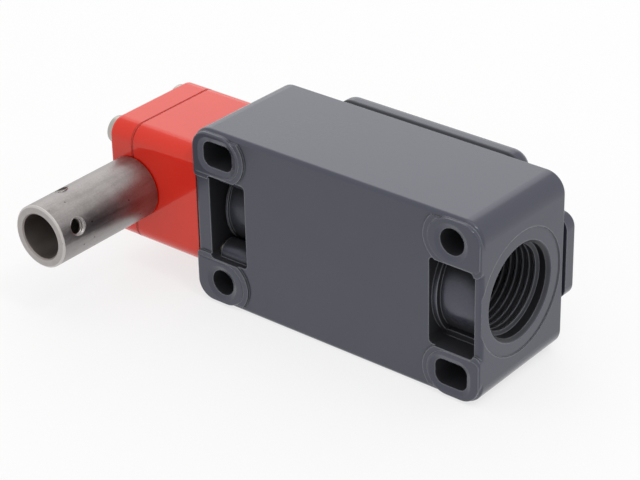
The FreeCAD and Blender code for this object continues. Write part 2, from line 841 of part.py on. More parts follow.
def contact_bridge(x0, tip_side):
    """A moving contact bar with a tip at each end, on the side that meets the fixed contacts."""
    bar = box(x0, x0 + bridge_thick, axis_y - bridge_half_y, axis_y + bridge_half_y,
              -bridge_half_z, bridge_half_z)
    tip_x = x0 - tip_height if tip_side < 0 else x0 + bridge_thick
    tips = [rod_x(tip_r, tip_x, tip_x + tip_height, axis_y, sign * tip_offset) for sign in (-1, 1)]
    return bar.fuse(tips)


def contact_bridges():
    return [contact_bridge(opening_bridge_x, -1), contact_bridge(closing_bridge_x, 1)]


def contact_springs():
    return [
        coil_x(opening_spring_x, web_x0, contact_spring_r, contact_wire, contact_turns),
        coil_x(web_x1, closing_bridge_x, contact_spring_r, contact_wire, contact_turns),
    ]


def fixed_contact(tab_x, tip_side, side):
    """A bent strip: a terminal plate on the block's side wall and a tab with a contact tip in the tray."""
    plate_x = tab_x if tip_side > 0 else tab_x + strip_thick - strip_length
    inner = side * strip_inner_z
    outer = side * block_half_z
    plate = box(plate_x, plate_x + strip_length, block_y1, strip_y1, min(inner, outer), max(inner, outer))
    tab_outer = side * bridge_half_z
    tab = box(tab_x, tab_x + strip_thick, axis_y - bridge_half_y, strip_y1,
              min(inner, tab_outer), max(inner, tab_outer))
    tip_x = tab_x + strip_thick if tip_side > 0 else tab_x - tip_height
    tip = rod_x(tip_r, tip_x, tip_x + tip_height, axis_y, side * tip_offset)
    hole_x = plate_x + strip_length / 2
    hole = rod_y(terminal_screw_r + screw_gap, block_y1 - past, strip_y1 + past, hole_x, side * terminal_z)
    return plate.fuse([tab, tip]).removeSplitter().cut(hole)


def fixed_contacts():
    contacts = []
    for side in (-1, 1):
        contacts.append(fixed_contact(opening_x0, 1, side))
        contacts.append(fixed_contact(closing_x1 - strip_thick, -1, side))
    return contacts


def terminal_clamps():
    clamps = []
    for x, z in terminal_xz:
        inner = math.copysign(block_half_z - clamp_reach, z)
        outer = math.copysign(block_half_z, z)
        plate = box(x - clamp_half, x + clamp_half, strip_y1, clamp_y1, min(inner, outer), max(inner, outer))
        clamps.append(plate.cut(rod_y(terminal_screw_r + screw_gap, strip_y1 - past, clamp_y1 + past, x, z)))
    return clamps


def terminal_screws():
    return [screw_y(terminal_screw_r, terminal_head_r, terminal_head, clamp_y1, terminal_depth, x, z)
            for x, z in terminal_xz]


def block_screws():
    grip = block_y1 - floor_y - blind_end
    return [screw_y(block_screw_r, block_screw_head_r, block_screw_head, block_y1, grip, x, z)
            for x, z in block_screw_xz]


def earth_clamp():
    top_y = earth_y + clamp_thick
    plate = rod_y(earth_boss_r, earth_y, top_y, earth_x, earth_z)
    return plate.cut(rod_y(earth_screw_r + screw_gap, earth_y - past, top_y + past, earth_x, earth_z))


def earth_screw():
    grip = clamp_thick + earth_boss_rise - blind_end
    seat_y = earth_y + clamp_thick
    return screw_y(earth_screw_r, earth_head_r, earth_head, seat_y, grip, earth_x, earth_z)


PIECES = [
    housing,
    cover,
    cover_gasket,
    cover_screws,
    head_base,
    head_cap,
    head_screws,
    head_gasket,
    hollow_shaft,
    shaft_seal,
    front_bush,
    rear_bush,
    thrust_washer,
    cam,
    cam_pin,
    plunger,
    plunger_guide,
    plunger_seal,
    return_spring,
    contact_block,
    block_lid,
    contact_carrier,
    contact_bridges,
    contact_springs,
    fixed_contacts,
    terminal_clamps,
    terminal_screws,
    block_screws,
    earth_clamp,
    earth_screw,
]

os.makedirs("parts", exist_ok=True)
for piece in PIECES:
    shape = piece()
    if isinstance(shape, list):
        shape = Part.makeCompound(shape)
    shape.exportStep(os.path.join("parts", piece.__name__ + ".step"))
    print(piece.__name__, len(shape.Solids), "solids", round(shape.Volume, 1), "mm3", shape.isValid())
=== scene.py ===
# %% [markdown]
# A safety hinge switch, dressed in Blender. The switch sits on the hinge side of a machine guard: the
# guard's hinge pin goes into the hollow steel shaft and turns it, and the contacts inside open. The solids
# come from a CAD model, already in place and at real size, so this lesson adds only what a photograph
# shows on top of them: the finish of each surface, the cut threads, the screws' recesses and the light.

# %% Load the solids
import itertools
import json
import math
from collections import namedtuple

import bmesh
import bpy
from mathutils import Matrix, Vector


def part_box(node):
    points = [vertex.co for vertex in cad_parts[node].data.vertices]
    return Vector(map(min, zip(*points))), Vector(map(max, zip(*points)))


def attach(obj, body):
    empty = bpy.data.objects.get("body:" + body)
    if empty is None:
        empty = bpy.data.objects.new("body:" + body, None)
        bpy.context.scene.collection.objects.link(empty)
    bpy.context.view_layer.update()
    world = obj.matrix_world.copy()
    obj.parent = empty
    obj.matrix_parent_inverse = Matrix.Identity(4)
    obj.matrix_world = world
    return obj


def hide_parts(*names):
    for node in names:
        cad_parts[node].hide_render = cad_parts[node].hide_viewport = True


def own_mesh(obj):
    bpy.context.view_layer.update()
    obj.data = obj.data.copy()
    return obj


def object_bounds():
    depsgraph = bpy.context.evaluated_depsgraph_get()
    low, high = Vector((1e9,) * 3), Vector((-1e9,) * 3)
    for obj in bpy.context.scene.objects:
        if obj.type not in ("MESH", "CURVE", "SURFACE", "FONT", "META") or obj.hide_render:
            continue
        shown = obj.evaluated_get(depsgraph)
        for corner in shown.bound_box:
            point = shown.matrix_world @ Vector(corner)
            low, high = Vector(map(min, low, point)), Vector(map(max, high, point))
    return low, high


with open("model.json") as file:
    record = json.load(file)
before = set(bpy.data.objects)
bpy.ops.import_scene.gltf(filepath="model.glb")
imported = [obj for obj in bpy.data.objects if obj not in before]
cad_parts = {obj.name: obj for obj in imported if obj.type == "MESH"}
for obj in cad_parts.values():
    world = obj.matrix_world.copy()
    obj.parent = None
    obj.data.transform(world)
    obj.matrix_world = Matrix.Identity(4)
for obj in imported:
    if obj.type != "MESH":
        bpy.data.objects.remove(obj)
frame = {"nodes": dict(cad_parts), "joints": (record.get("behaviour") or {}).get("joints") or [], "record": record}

MM = 0.001
cad_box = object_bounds()
mounts = {mount["name"]: mount for mount in frame["record"]["mounts"]}


def box_numbers(box):
    return [round(value, 4) for corner in box for value in corner]


print("loaded", len(frame["nodes"]), "nodes in the box", box_numbers(cad_box))

# %% [markdown]
# The camera repeats the photograph's view. A long lens from less than half a metre away gives the mild
# perspective that the housing's edges show. A Track To constraint could aim the camera, but it has no roll,
# and this view is rolled by a little over a degree. So three angles say how the camera is turned, and its
# three axes follow from them: looking forward, to the right, and down the picture. Blender's camera looks
# along its own -Z with +Y up, so the matrix takes right, up and backward as its columns.

# %% Camera
view_azimuth = math.radians(39.898)
view_elevation = math.radians(28.973)
view_roll = math.radians(1.341)
camera_place = Vector((257.25, -310.76, 229.05)) * MM
lens_mm = 129.218
sensor_mm = 36.0
nearest_seen = 10 * MM

across, along = math.sin(view_azimuth), math.cos(view_azimuth)
level, fall = math.cos(view_elevation), math.sin(view_elevation)
forward = Vector((-across * level, along * level, -fall))
flat_right = Vector((along, across, 0))
flat_down = Vector((fall * across, -fall * along, -level))
right = math.cos(view_roll) * flat_right + math.sin(view_roll) * flat_down
down = math.cos(view_roll) * flat_down - math.sin(view_roll) * flat_right
camera_turn = Matrix((right, -down, -forward)).transposed().to_4x4()

camera_data = bpy.data.cameras.new("camera")
camera_data.lens = lens_mm
camera_data.sensor_width = sensor_mm
camera_data.clip_start = nearest_seen
camera = bpy.data.objects.new("camera", camera_data)
bpy.context.scene.collection.objects.link(camera)
camera.matrix_world = Matrix.Translation(camera_place) @ camera_turn
bpy.context.scene.camera = camera
bpy.context.scene.view_settings.view_transform = "Standard"
print("camera stands", round(camera_place.length, 3), "m from the origin")

# %% [markdown]
# The look of a surface is a formula, which Blender keeps as nodes and links. They could be added one by one,
# but the formula is easier to read as arithmetic. Signal wraps one output socket, and each operator adds a
# Math node, with the reflected forms so that 1 - mask works too. Nodes wraps a node tree, and its single
# node method sets a node's options first, then fills its sockets with numbers or links.

# %% Shader arithmetic
class Signal:
    """One output socket, with operators that add Math nodes."""

    def __init__(self, nodes, socket):
        self.nodes = nodes
        self.socket = socket

    def sibling(self, output):
        """Another output of the same node."""
        return Signal(self.nodes, self.socket.node.outputs[output])

    def maths(self, operation, first, second):
        return self.nodes.node("ShaderNodeMath", {"operation": operation}, {0: first, 1: second})

    def __add__(self, other):
        return self.maths("ADD", self, other)

    def __sub__(self, other):
        return self.maths("SUBTRACT", self, other)

    def __rsub__(self, other):
        return self.maths("SUBTRACT", other, self)

    def __mul__(self, other):
        return self.maths("MULTIPLY", self, other)

    def __pow__(self, other):
        return self.maths("POWER", self, other)

    def __abs__(self):
        return self.maths("ABSOLUTE", self, 0.0)

    __radd__ = __add__
    __rmul__ = __mul__


class Nodes:
    """A node tree, with one method that adds a node to it."""

    def __init__(self, tree):
        self.tree = tree

    def fill(self, node, sockets):
        for key, value in sockets.items():
            if isinstance(value, Signal):
                self.tree.links.new(value.socket, node.inputs[key])
            else:
                node.inputs[key].default_value = value

    def node(self, kind, settings=None, sockets=None, output=0):
        made = self.tree.nodes.new(kind)
        for key, value in (settings or {}).items():
            setattr(made, key, value)
        self.fill(made, sockets or {})
        return Signal(self, made.outputs[output])

    def most(self, first, *others):
        """The largest of several signals."""
        for other in others:
            first = first.maths("MAXIMUM", first, other)
        return first


print("arithmetic on signals is ready")

# %% [markdown]
# A finish is one material round a Principled shader. Painted images could carry the looks below, but noises
# in the object's own space need no unwrapping and keep their real scale. A number that is the same all over
# stays on the shader's own socket, because that is what an export can keep, and only what varies is linked.
# The methods are the stock of every recipe: a noise, a soft step, a blend of two colours.

# %% A finish
class Finish(Nodes):
    """A material whose Principled shader takes constants and signals by socket name."""

    def __init__(self, name, constants):
        self.material = bpy.data.materials.new(name)
        self.material.use_nodes = True
        super().__init__(self.material.node_tree)
        self.shader = self.tree.nodes["Principled BSDF"]
        self.fill(self.shader, constants)

    def place(self):
        return self.node("ShaderNodeTexCoord", output="Object")

    def axes(self, vector):
        x = self.node("ShaderNodeSeparateXYZ", None, {0: vector})
        return x, x.sibling("Y"), x.sibling("Z")

    def stretch(self, vector, factors):
        return self.node("ShaderNodeVectorMath", {"operation": "MULTIPLY"}, {0: vector, 1: factors})

    def noise(self, scale, detail=2.0, rough=0.5, vector=None):
        """Cloudy values, with about as many clouds in a metre as the scale says."""
        sockets = {"Scale": scale, "Detail": detail, "Roughness": rough, "Vector": vector or self.place()}
        return self.node("ShaderNodeTexNoise", None, sockets)

    def ramp(self, value, low, high):
        """A soft step from 0 at low to 1 at high."""
        sockets = {"Value": value, "From Min": low, "From Max": high}
        return self.node("ShaderNodeMapRange", {"interpolation_type": "SMOOTHSTEP"}, sockets)

    def blend(self, mask, first, second):
        return self.node("ShaderNodeMix", {"data_type": "RGBA"}, {0: mask, 6: first, 7: second}, output=2)

    def wear(self, sockets):
        """Feeds what varies to the shader, and says how large the recipe is."""
        self.fill(self.shader, sockets)
        print(self.material.name, "is a recipe of", len(self.tree.nodes), "nodes")
        return self


print("a finish is a Principled shader with a recipe")

# %% [markdown]
# Some edges are painted paler below as a painted highlight, the red head's seam is painted darker as painted
# shade, and corners and pockets are painted darker as painted shade. All of them could be painted by hand,
# but the shape alone tells where they are. The Bevel node gives the normal that a surface would have if its
# edges were rounded. It agrees with the true normal on a flat and leaves it near an edge, so their dot
# product finds the edge. Ambient Occlusion tells how shut in a place is. The same Bevel node also lies under
# each bump, because a real edge is always broken a little.

# %% Edges, corners and relief
bevel_samples = 6
hollow_samples = 8


def bevel(finish, radius):
    """The surface's normal, as if its edges were rounded by this radius."""
    return finish.node("ShaderNodeBevel", {"samples": bevel_samples}, {"Radius": radius})


def edges(finish, radius):
    """How far the surface turns within this radius: 0 on a flat, more at an edge."""
    flat = finish.node("ShaderNodeNewGeometry", output="Normal")
    normals = {0: bevel(finish, radius), 1: flat}
    alike = finish.node("ShaderNodeVectorMath", {"operation": "DOT_PRODUCT"}, normals, output="Value")
    return 1 - alike


def hollows(finish, reach):
    """How shut in a place is: 0 in the open, towards 1 in a groove or corner within this reach."""
    settings = {"samples": hollow_samples, "only_local": True}
    openness = finish.node("ShaderNodeAmbientOcclusion", settings, {"Distance": reach}, output="AO")
    return 1 - openness


def relief(finish, height, strength, depth, edge):
    """Bump on the surface, over edges that are broken by this radius."""
    sockets = {"Height": height, "Strength": strength, "Distance": depth, "Normal": bevel(finish, edge)}
    return finish.node("ShaderNodeBump", None, sockets)


print("edges are found with", bevel_samples, "samples and hollows with", hollow_samples)

# %% [markdown]
# The housing and the cover are powder-coated castings, and two places on them get painted shade. Inside the
# conduit entry the thread and the flare of its mouth lie in shade, so the distance to its axis picks them
# out. A shadow gap runs along the foot of the cover's long sides, so a band above that line takes painted
# shadow. Neither place is a corner that the shape gives away, so both masks are worked out from the
# frame's own sizes and follow the solids.

# %% Where the grey coat is painted with shade
entry = mounts["conduit_entry"]
entry_place = Vector(entry["pos_m"])
entry_r = entry["dims"]["r_mm"] * MM
entry_length = entry["dims"]["length_mm"] * MM
entry_inner_end = entry_place.x - entry_length / 2
entry_flare = 0.8 * MM
flare_fade = 0.3 * MM
cut_clear, cut_full = 0.2 * entry_length, 0.1 * entry_length

cover_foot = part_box("cover")[0].y
cover_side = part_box("cover")[1].z
joint_dark, joint_clear = 0.7 * MM, 2.2 * MM
joint_start = 0.1 * MM
side_dark, side_clear = 1.0 * MM, 2.0 * MM


# Painted shade: this mask darkens the thread and the flare inside the conduit entry.
def conduit_entry_shade(finish, x, y, z):
    """1 on the thread of the conduit entry and the flare of its mouth."""
    from_axis = ((y - entry_place.y) ** 2.0 + (z - entry_place.z) ** 2.0) ** 0.5
    flare_edge = entry_r + entry_flare
    inside = finish.ramp(from_axis, flare_edge, flare_edge - flare_fade)
    return inside * finish.ramp(x, entry_inner_end - cut_clear, entry_inner_end - cut_full)


# Painted shadow: this mask darkens a band along the foot of the cover's long sides, where a shadow gap lies.
def cover_foot_shadow(finish, y, z):
    """1 along the foot of the cover's long sides, fading out above it."""
    above = finish.ramp(y, cover_foot + joint_clear, cover_foot + joint_dark)
    below = finish.ramp(y, cover_foot - joint_start, cover_foot)
    sides = finish.ramp(abs(z), cover_side - side_clear, cover_side - side_dark)
    return above * below * sides


print("conduit entry is", round(2 * entry_r / MM, 1), "mm wide, cover's foot at y", round(cover_foot, 4))

# %% [markdown]
# The coat itself is a dark blue-grey powder. Powder melts into a glossy skin that is never quite flat: it
# has a faint orange-peel ripple about a millimetre long, and its gloss drifts a little from place to
# place. Noises make both. The colour is nearly black: most of the grey that the eye sees is the white
# studio in the gloss. Open edges are painted paler as a painted highlight, and corners and pockets are
# painted darker as painted shade and made matte too.

# %% Grey powder coat
coat_deep, coat_pale = (0.038, 0.04, 0.058, 1), (0.046, 0.048, 0.067, 1)
# The next colour is a painted highlight for open edges, and the one after it is painted shade for corners,
# pockets, the cover's foot and the conduit entry.
coat_highlight = (0.2, 0.205, 0.23, 1)
coat_shade = (0.006, 0.006, 0.007, 1)
highlight_edge, highlight_turn = 0.45 * MM, (0.015, 0.14)
corner_reach, corner_shade_turn, corner_open = 2.0 * MM, (0.12, 0.5), (0.65, 0.4)
pocket_reach, pocket_shade_turn = 12.0 * MM, (0.2, 0.42)
cast_edge = 0.3 * MM
peel_depth = 0.05 * MM


def grey_powder_coat():
    finish = Finish("grey_powder_coat", {"IOR": 1.6, "Specular Tint": (0.88, 0.9, 1.0, 1)})
    x, y, z = finish.axes(finish.place())
    drift = finish.noise(70.0, detail=3.0)
    ripple = finish.noise(850.0)
    grain = finish.noise(5200.0)
    # Painted shade: corners, pockets, the cover's foot and the conduit entry are darkened in colour.
    corners = hollows(finish, corner_reach)
    corner_shade = finish.ramp(corners, *corner_shade_turn)
    pocket_shade = finish.ramp(hollows(finish, pocket_reach), *pocket_shade_turn)
    painted_shade = finish.most(cover_foot_shadow(finish, y, z), corner_shade, pocket_shade)
    cut = conduit_entry_shade(finish, x, y, z)
    # Painted highlight: open edges are painted paler.
    edge_highlight = finish.ramp(edges(finish, highlight_edge), *highlight_turn) * finish.ramp(corners, *corner_open)
    colour = finish.blend(drift, coat_deep, coat_pale)
    shaded = finish.blend(finish.most(painted_shade, cut), colour, coat_shade)
    return finish.wear({
        "Base Color": finish.blend(edge_highlight, shaded, coat_highlight),
        "Roughness": 0.16 + 0.1 * drift + 0.7 * painted_shade + 0.25 * cut,
        "Normal": relief(finish, ripple + 0.25 * grain, strength=0.08, depth=peel_depth, edge=cast_edge),
    })


finishes = {"grey_coat": grey_powder_coat()}

# %% [markdown]
# The head is cast too, but its signal red is a wet gloss coat: nearly mirror-smooth, so the shaft and the
# bright backdrop show in it. The same recipe serves with a longer ripple and a low roughness. Its two
# halves meet in a fine seam, which is painted dark as painted shade. Only the seam and the rims of the
# holes are sharp edges, so the edge finder paints shade on just those.

# %% Red gloss coat
red_deep, red_bright = (0.7, 0.012, 0.003, 1), (0.76, 0.018, 0.005, 1)
# The next colour is painted shade for the seam and the rims of the holes.
red_seam_shade = (0.04, 0.003, 0.002, 1)
seam_edge, seam_turn = 0.45 * MM, (0.015, 0.07)
gloss_edge = 0.2 * MM


def red_gloss_coat():
    finish = Finish("red_gloss_coat", {"IOR": 1.5, "Specular Tint": (1.0, 0.97, 0.82, 1)})
    drift = finish.noise(60.0)
    ripple = finish.noise(520.0)
    colour = finish.blend(drift, red_deep, red_bright)
    # Painted shade: the seam between the halves and the rims of the holes are darkened.
    seam = finish.ramp(edges(finish, seam_edge), *seam_turn)
    return finish.wear({
        "Base Color": finish.blend(seam, colour, red_seam_shade),
        "Roughness": 0.05 + 0.05 * drift,
        "Normal": relief(finish, ripple, strength=0.08, depth=peel_depth, edge=gloss_edge),
    })


finishes["red_coat"] = red_gloss_coat()

# %% [markdown]
# The shaft is a stainless tube. Its rims carry a painted highlight, the outer lip of its mouth a weaker one
# and the flat end a faint one, so one mask takes the largest of the three. Handling leaves sparse dark
# pits. A Voronoi pattern gives each of its cells a random colour, and a pit is the middle of a cell whose
# red happens to be low.

# %% Painted highlights and pits on the shaft
shaft_r = 7.0 * MM
shaft_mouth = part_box("hollow_shaft")[0].y
rim_edge, rim_turn = 0.25 * MM, (0.02, 0.15)
face_clear, face_full = 0.2 * MM, 0.1 * MM
lip_clear, lip_full = 0.5 * MM, 0.35 * MM
pit_cells = 700.0
pit_size, pit_chance = (0.2, 0.08), (0.12, 0.08)


# Painted highlight: the rims, the lip of the mouth and the flat end are painted paler.
def rim_highlight(finish, y, from_axis):
    """How strong the painted highlight is at the shaft's rims, on the lip of its mouth and on its flat end."""
    rims = finish.ramp(edges(finish, rim_edge), *rim_turn)
    end = finish.ramp(y, shaft_mouth + face_clear, shaft_mouth + face_full)
    lip = finish.ramp(y, shaft_mouth + lip_clear, shaft_mouth + lip_full)
    lip = lip * finish.ramp(from_axis, shaft_r - lip_clear, shaft_r - lip_full)
    return finish.most(0.8 * rims, 0.25 * end, 0.65 * lip)


def handling_pits(finish, place):
    """1 in the sparse pits of the shaft's skin."""
    sockets = {"Vector": place, "Scale": pit_cells}
    from_middle = finish.node("ShaderNodeTexVoronoi", None, sockets, output="Distance")
    chance = finish.node("ShaderNodeSeparateColor", None, {0: from_middle.sibling("Color")})
    return finish.ramp(from_middle, *pit_size) * finish.ramp(chance, *pit_chance)


print("shaft is", round(2 * shaft_r / MM, 1), "mm wide, with its mouth at y", round(shaft_mouth, 4))

# %% [markdown]
# The steel's own look comes from how it was made. Turning leaves rings round the shaft, far finer than a
# pixel but enough to spread the highlights along it. They could be modelled as grooves, but a noise that is
# squeezed along the axis costs no faces. The skin is tumbled to a warm, mottled grey, in which a broad
# cloud, a fine speckle and faint rub marks along the shaft share. The bore is only drilled and stays dull
# and dark, and the distance to the axis picks it out.

# %% Turned stainless steel
bore = mounts["shaft_bore"]
bore_r = bore["dims"]["r_mm"] * MM
shaft_x = bore["pos_m"][0]
ring_stretch = (40.0, 6000.0, 40.0)
rub_stretch = (900.0, 110.0, 900.0)
skin_dark, skin_light = (0.25, 0.232, 0.227, 1), (0.35, 0.327, 0.32, 1)
# The next colour is a painted highlight for the shaft's rims, lip and flat end.
skin_highlight = (0.66, 0.63, 0.61, 1)
pit_dark = (0.07, 0.06, 0.055, 1)
bore_dull = (0.3, 0.265, 0.25, 1)
tone_range = (0.34, 0.66)
wall_inner, wall_outer = 0.2 * MM, 0.4 * MM
ring_depth = 0.03 * MM
turned_edge = 0.12 * MM


def turned_stainless():
    finish = Finish("turned_stainless", {"Metallic": 1.0})
    place = finish.place()
    x, y, z = finish.axes(place)
    from_axis = ((x - shaft_x) ** 2.0 + z ** 2.0) ** 0.5
    outside = finish.ramp(from_axis, bore_r + wall_inner, bore_r + wall_outer)
    rings = finish.noise(1.0, detail=3.0, rough=0.6, vector=finish.stretch(place, ring_stretch))
    rubs = finish.noise(1.0, detail=3.0, rough=0.6, vector=finish.stretch(place, rub_stretch))
    cloud = finish.noise(240.0, detail=4.0, rough=0.6)
    speckle = finish.noise(2600.0, detail=3.0, rough=0.7)
    tone = finish.ramp(0.35 * cloud + 0.35 * speckle + 0.3 * rubs, *tone_range)
    pits = handling_pits(finish, place)
    tumbled = finish.blend(tone, skin_dark, skin_light)
    # Painted highlight: the rims, the lip and the flat end are blended towards pale steel.
    highlighted = finish.blend(rim_highlight(finish, y, from_axis), tumbled, skin_highlight)
    skin = finish.blend(pits, highlighted, pit_dark)
    height = rings + 0.6 * speckle - 0.8 * pits
    return finish.wear({
        "Base Color": finish.blend(outside, bore_dull, skin),
        "Roughness": 0.44 - 0.13 * outside + 0.14 * tone,
        "Normal": relief(finish, height, strength=0.14, depth=ring_depth, edge=turned_edge),
    })


finishes["stainless"] = turned_stainless()

# %% [markdown]
# Everything else is small or hides inside the closed housing: zinc-plated screws, bronze bushes, brass
# contacts, rubber seals and the moulded contact block. Each could have a recipe of its own, but two short
# ones cover them, one for metal and one for mouldings and rubber, each with a cloudy tone and a fine grain.
# A row of the tables gives a name, a dark and a light colour, and a roughness.

# %% Small metal parts, mouldings and rubber
metals = {
    "bright_steel": ("zinc_plated_steel", (0.36, 0.345, 0.31, 1), (0.5, 0.485, 0.44, 1), 0.3),
    "bronze": ("sintered_bronze", (0.42, 0.25, 0.1, 1), (0.56, 0.36, 0.16, 1), 0.4),
    "brass": ("stamped_brass", (0.66, 0.48, 0.2, 1), (0.78, 0.6, 0.28, 1), 0.3),
}
mouldings = {
    "black_rubber": ("nitrile_rubber", (0.014, 0.014, 0.014, 1), (0.024, 0.024, 0.024, 1), 0.6),
    "pale_moulding": ("pale_moulding", (0.68, 0.66, 0.6, 1), (0.76, 0.74, 0.68, 1), 0.4),
    "clear_moulding": ("milky_moulding", (0.62, 0.65, 0.66, 1), (0.7, 0.73, 0.74, 1), 0.25),
    "dark_moulding": ("dark_moulding", (0.03, 0.03, 0.03, 1), (0.05, 0.05, 0.05, 1), 0.4),
}


def plain_metal(name, dark, light, rough):
    finish = Finish(name, {"Metallic": 1.0})
    cloud = finish.noise(300.0, detail=4.0, rough=0.6)
    grain = finish.noise(6000.0)
    return finish.wear({
        "Base Color": finish.blend(cloud, dark, light),
        "Roughness": rough + 0.12 * cloud,
        "Normal": relief(finish, grain, strength=0.1, depth=0.02 * MM, edge=0.1 * MM),
    })


def plain_moulding(name, dark, light, rough):
    finish = Finish(name, {"IOR": 1.5})
    cloud = finish.noise(120.0, detail=3.0)
    grain = finish.noise(3500.0, detail=3.0)
    return finish.wear({
        "Base Color": finish.blend(cloud, dark, light),
        "Roughness": rough + 0.1 * cloud,
        "Normal": relief(finish, grain, strength=0.15, depth=0.03 * MM, edge=0.15 * MM),
    })


finishes.update({slot: plain_metal(*row) for slot, row in metals.items()})
finishes.update({slot: plain_moulding(*row) for slot, row in mouldings.items()})

# %% [markdown]
# The record names a material slot for every solid, so dressing the solids is one loop. Only their material
# changes: their shapes are already those of the real pieces.

# %% Dress the solids
for part in frame["record"]["subparts"]:
    solid = frame["nodes"][part["node"]].data
    solid.materials.clear()
    solid.materials.append(finishes[part["material_slot"]].material)

# %% [markdown]
# New pieces are worked as a bmesh, which is Blender's editable form of a mesh, round the Z axis at the
# origin. Blender's operators could build them too, but they depend on what is selected, and a bmesh doesn't.
# Two helpers then turn the mesh into an object and give it a body to ride on and a finish, and a matrix
# stands it where it belongs. Faces that meet at less than the sharp angle are shaded as one curve.

# %% From a worked mesh to a piece
sharp_angle = math.radians(35)


def object_from(bm, name):
    """Turns a worked mesh into an object of the scene."""
    bmesh.ops.recalc_face_normals(bm, faces=bm.faces)
    mesh = bpy.data.meshes.new(name)
    bm.to_mesh(mesh)
    bm.free()
    made = bpy.data.objects.new(name, mesh)
    bpy.context.scene.collection.objects.link(made)
    return made


def piece_from(bm, name, body, slot):
    """Turns a worked mesh into a piece that rides on a body and wears a finish."""
    piece = object_from(bm, name)
    mesh = piece.data
    mesh.shade_smooth()
    mesh.set_sharp_from_angle(angle=sharp_angle)
    mesh.materials.append(finishes[slot].material)
    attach(piece, body)
    print("made", name, "with", len(mesh.polygons), "faces")
    return piece


def stand(place, direction):
    """The matrix that takes Z to a direction and the origin to a place."""
    turn = Vector(direction).to_track_quat("Z", "Y").to_matrix().to_4x4()
    return Matrix.Translation(place) @ turn


print("pieces are shaded sharp from", round(math.degrees(sharp_angle)), "degrees")

# %% [markdown]
# Threads and springs are one thing: a small section that travels round an axis while it climbs. Blender's
# Screw modifier could sweep it, but a thread runs out at its ends, so its section has to shrink back to the
# root there, over a share of a turn. The function below therefore writes the section's points at each step
# of the turn, joins neighbouring sections with faces, and closes both ends. The section of a thread is a
# ridge with flanks of sixty degrees. Its flat crest is a quarter of the pitch wide inside a hole and an
# eighth outside a screw.

# %% A section that climbs round an axis
half_flank = math.radians(30)
foot_sink = 0.03 * MM


def climb(bm, section, pitch, turns, steps, root=None, fade=0.4):
    """Sweeps (along, outward) points round Z, and fades them to the root radius at both ends."""
    count = round(turns * steps)
    rings = []
    for step in range(count + 1):
        turn = turns * step / count
        share = 1.0 if root is None else min(1.0, turn / fade, (turns - turn) / fade)
        angle = 2 * math.pi * turn
        ring = []
        for rise, reach in section:
            radius = reach if root is None else root + (reach - root) * share
            place = (radius * math.cos(angle), radius * math.sin(angle), pitch * turn + rise)
            ring.append(bm.verts.new(place))
        rings.append(ring)
    size = len(section)
    for lower, upper in zip(rings, rings[1:]):
        for i in range(size):
            j = (i + 1) % size
            bm.faces.new((lower[i], lower[j], upper[j], upper[i]))
    bm.faces.new(rings[0])
    bm.faces.new(rings[-1][::-1])


def thread_section(root, crest, pitch):
    """A thread's ridge, with its foot sunk a little into the wall."""
    foot = root + math.copysign(foot_sink, root - crest)
    half_crest = pitch / 8 if crest < root else pitch / 16
    half_root = half_crest + abs(crest - root) * math.tan(half_flank)
    return [(-half_root, foot), (half_root, foot), (half_crest, crest), (-half_crest, crest)]


print("the flanks of a thread stand", round(2 * math.degrees(half_flank)), "degrees apart")

# %% [markdown]
# The conduit entry is cut M20 x 1.5, so that a cable gland screws in. The solid has the bore at the
# thread's outer size, and the ridges stand in from it by the thread's depth, which is a fixed share of the
# pitch. They stop short of the mouth, where the real entry has a plain ring that guides the gland. A bump
# could hint at them, but the mouth is wide and the camera looks right in, so they are real faces.

# %% Conduit thread
depth_share = 0.5413
entry_pitch = 1.5 * MM
entry_crest = entry_r - depth_share * entry_pitch
entry_run_in = 0.6 * MM
plain_ring = 1.2 * MM
entry_turns = (entry_length - plain_ring - entry_run_in) / entry_pitch
entry_clock = math.radians(95)
entry_steps = 72

bm = bmesh.new()
entry_section = thread_section(entry_r, entry_crest, entry_pitch)
climb(bm, entry_section, entry_pitch, entry_turns, entry_steps, root=entry_r)
bm.transform(Matrix.Rotation(entry_clock, 4, "Z"))
entry_start = (entry_inner_end + entry_run_in, entry_place.y, entry_place.z)
bm.transform(stand(entry_start, entry["axis"]))
piece_from(bm, "conduit_thread", "body", "grey_coat")

# %% [markdown]
# Two set screws lock the guard's hinge pin in the shaft, and their M4 holes are empty in the photograph,
# so their threads show as bright lines. The holes sit at two depths, a quarter turn apart, and each thread
# climbs through the tube's wall from the bore outward.

# %% Set-screw threads
hole_r = 2.0 * MM
hole_pitch = 0.7 * MM
hole_crest = hole_r - depth_share * hole_pitch
hole_start = 0.1 * MM
wall_margin = 0.3 * MM
hole_turns = (shaft_r - bore_r - wall_margin) / hole_pitch
hole_steps = 48
hole_fade = 0.25
near_angle = 22
set_screw_holes = {
    "set_screw_thread_near": (4.9 * MM, math.radians(near_angle)),
    "set_screw_thread_far": (8.8 * MM, math.radians(near_angle + 90)),
}

hole_section = thread_section(hole_r, hole_crest, hole_pitch)
for name, (inset, angle) in set_screw_holes.items():
    outward = Vector((math.cos(angle), 0, math.sin(angle)))
    start = Vector((shaft_x, shaft_mouth + inset, 0)) + outward * (bore_r + hole_start)
    bm = bmesh.new()
    climb(bm, hole_section, hole_pitch, hole_turns, hole_steps, root=hole_r, fade=hole_fade)
    bm.transform(stand(start, outward))
    piece_from(bm, name, "shaft", "stainless")

# %% [markdown]
# A screw starts as a turned blank, so it is made as a lathe makes it: a profile is spun round its axis. The
# profile goes from the tip up the core of the thread, out to the shank, out to the head and over its
# rounded edge to the middle.

# %% A screw's blank
Screw = namedtuple("Screw", "head_r head shank_r pitch grip")
blank_segments = 48
tip_break = 0.3 * MM
edge_share = 0.22
edge_drop, edge_inset = 0.35, 0.3


